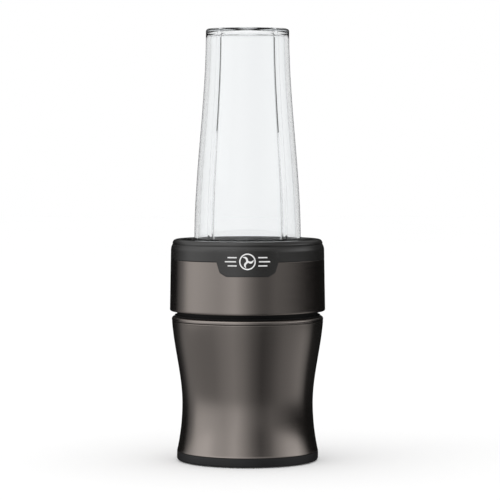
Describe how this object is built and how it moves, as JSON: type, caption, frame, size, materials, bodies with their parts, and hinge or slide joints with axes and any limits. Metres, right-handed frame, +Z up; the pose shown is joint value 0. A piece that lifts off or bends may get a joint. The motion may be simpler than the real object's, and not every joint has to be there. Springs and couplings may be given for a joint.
{
  "type": "countertop blender",
  "caption": "Personal countertop blender: hourglass gunmetal motor base, black-rimmed twist-lock collar and clear tapered inverted cup with a screw-on blade assembly.",
  "frame": {"origin": "centre of the base on the plane that the rubber feet rest on", "axes": "+Z up along the motor, blade and cup axis; -Y towards the front, where the label tab is"},
  "size_m": [0.1202, 0.1205, 0.3334],
  "materials": {
    "gunmetal": "satin gunmetal with a soft vertical sheen",
    "satin_black": "satin moulded black",
    "matte_black": "matt moulded black",
    "shoulder_black": "satin brown-black",
    "ring_black": "matt moulded black",
    "rubber": "matt rubber",
    "screw_steel": "zinc-plated",
    "emblem_white": "satin white",
    "cast_aluminium": "die-cast",
    "bronze": "sintered",
    "lamination_steel": "stacked laminations, varnished",
    "copper_wire": "enamelled wire",
    "copper_bar": "turned",
    "brass": "pressed sheet",
    "carbon": "matt carbon",
    "board_green": "coated board",
    "switch_black": "moulded",
    "spring_steel": "drawn wire and strip",
    "shaft_steel": "ground",
    "coupling_black": "glass-filled nylon",
    "natural_nylon": "natural nylon",
    "button_red": "moulded",
    "seal_silicone": "silicone",
    "gasket_silicone": "translucent silicone",
    "clear_cup": "clear copolyester, polished",
    "blade_steel": "satin stainless"
  },
  "bodies": {
    "base": {"rubber_feet": "rubber", "foot_ring": "satin_black", "bottom_cover": "matte_black", "cover_screws": "screw_steel", "cord_gland": "rubber", "metal_sleeve": "gunmetal", "housing_shell": "matte_black", "top_housing": "shoulder_black", "collar_band": "gunmetal", "collar_bezel": "satin_black", "emblem": "emblem_white", "cup_well": "matte_black", "collar_screws": "screw_steel", "motor_dampers": "rubber", "lower_bracket": "cast_aluminium", "upper_bracket": "cast_aluminium", "lower_bearing": "bronze", "upper_bearing": "screw_steel", "stator_core": "lamination_steel", "field_coils": "copper_wire", "motor_bolts": "screw_steel", "brush_holders": "brass", "carbon_brushes": "carbon", "air_baffle": "matte_black", "control_board": "board_green", "switch_bracket": "screw_steel", "microswitch": "switch_black", "plunger_spring": "spring_steel"},
    "motor_rotor": {"motor_shaft": "shaft_steel", "armature_core": "lamination_steel", "armature_windings": "copper_wire", "commutator": "copper_bar", "cooling_fan": "matte_black", "drive_coupling": "coupling_black"},
    "interlock": {"interlock_plunger": "natural_nylon"},
    "switch_button": {"switch_button": "button_red"},
    "switch_lever": {"switch_lever": "spring_steel"},
    "lock_ring": {"lock_ring": "ring_black"},
    "cup_base": {"blade_holder": "satin_black", "blade_bushing": "bronze", "shaft_seal": "seal_silicone"},
    "blades": {"blade_shaft": "shaft_steel", "driven_coupling": "coupling_black", "lower_blade": "blade_steel", "middle_blade": "blade_steel", "upper_blade": "blade_steel", "blade_spacers": "shaft_steel", "blade_nut": "blade_steel"},
    "cup_seal": {"cup_gasket": "gasket_silicone"},
    "cup": {"cup": "clear_cup"}
  },
  "joints": [
    {"name": "motor_spin", "type": "hinge", "parent": "base", "child": "motor_rotor", "pos_m": [0, 0, 0.06], "axis": [0, 0, 1], "continuous": true},
    {"name": "twist_lock", "type": "hinge", "parent": "base", "child": "lock_ring", "pos_m": [0, 0, 0.12], "axis": [0, 0, -1], "range_deg": [0, 18]},
    {"name": "plunger_press", "type": "slide", "parent": "base", "child": "interlock", "axis": [0, 0, 1], "range_m": [-0.0026, 0], "stiffness_N_per_m": 300, "deforming": ["plunger_spring"]},
    {"name": "lever_tip", "type": "hinge", "parent": "base", "child": "switch_lever", "pos_m": [0.04, 0.014, 0.1049], "axis": [1, 0, 0], "range_deg": [0, 10.4]},
    {"name": "button_press", "type": "slide", "parent": "base", "child": "switch_button", "axis": [0, 0, 1], "range_m": [-0.0015, 0]},
    {"name": "cup_lift", "type": "slide", "parent": "lock_ring", "child": "cup_base", "axis": [0, 0, 1], "range_m": [0, 0.12]},
    {"name": "blade_spin", "type": "hinge", "parent": "cup_base", "child": "blades", "pos_m": [0, 0, 0.14], "axis": [0, 0, 1], "continuous": true},
    {"name": "cup_rise", "type": "slide", "parent": "cup_base", "child": "cup_seal", "axis": [0, 0, 1], "range_m": [0, 0.0061]},
    {"name": "cup_unscrew", "type": "hinge", "parent": "cup_seal", "child": "cup", "pos_m": [0, 0, 0.15], "axis": [0, 0, 1], "range_deg": [0, 540]}
  ],
  "couplings": [
    {"joint": "blade_spin", "follows": "motor_spin", "ratio": 1},
    {"joint": "plunger_press", "follows": "twist_lock", "m_per_rad": -0.0079577},
    {"joint": "lever_tip", "follows": "twist_lock", "ratio": 0.56667},
    {"joint": "button_press", "follows": "twist_lock", "m_per_rad": -0.0044563},
    {"joint": "cup_rise", "follows": "cup_unscrew", "m_per_rad": 0.00063662}
  ]
}
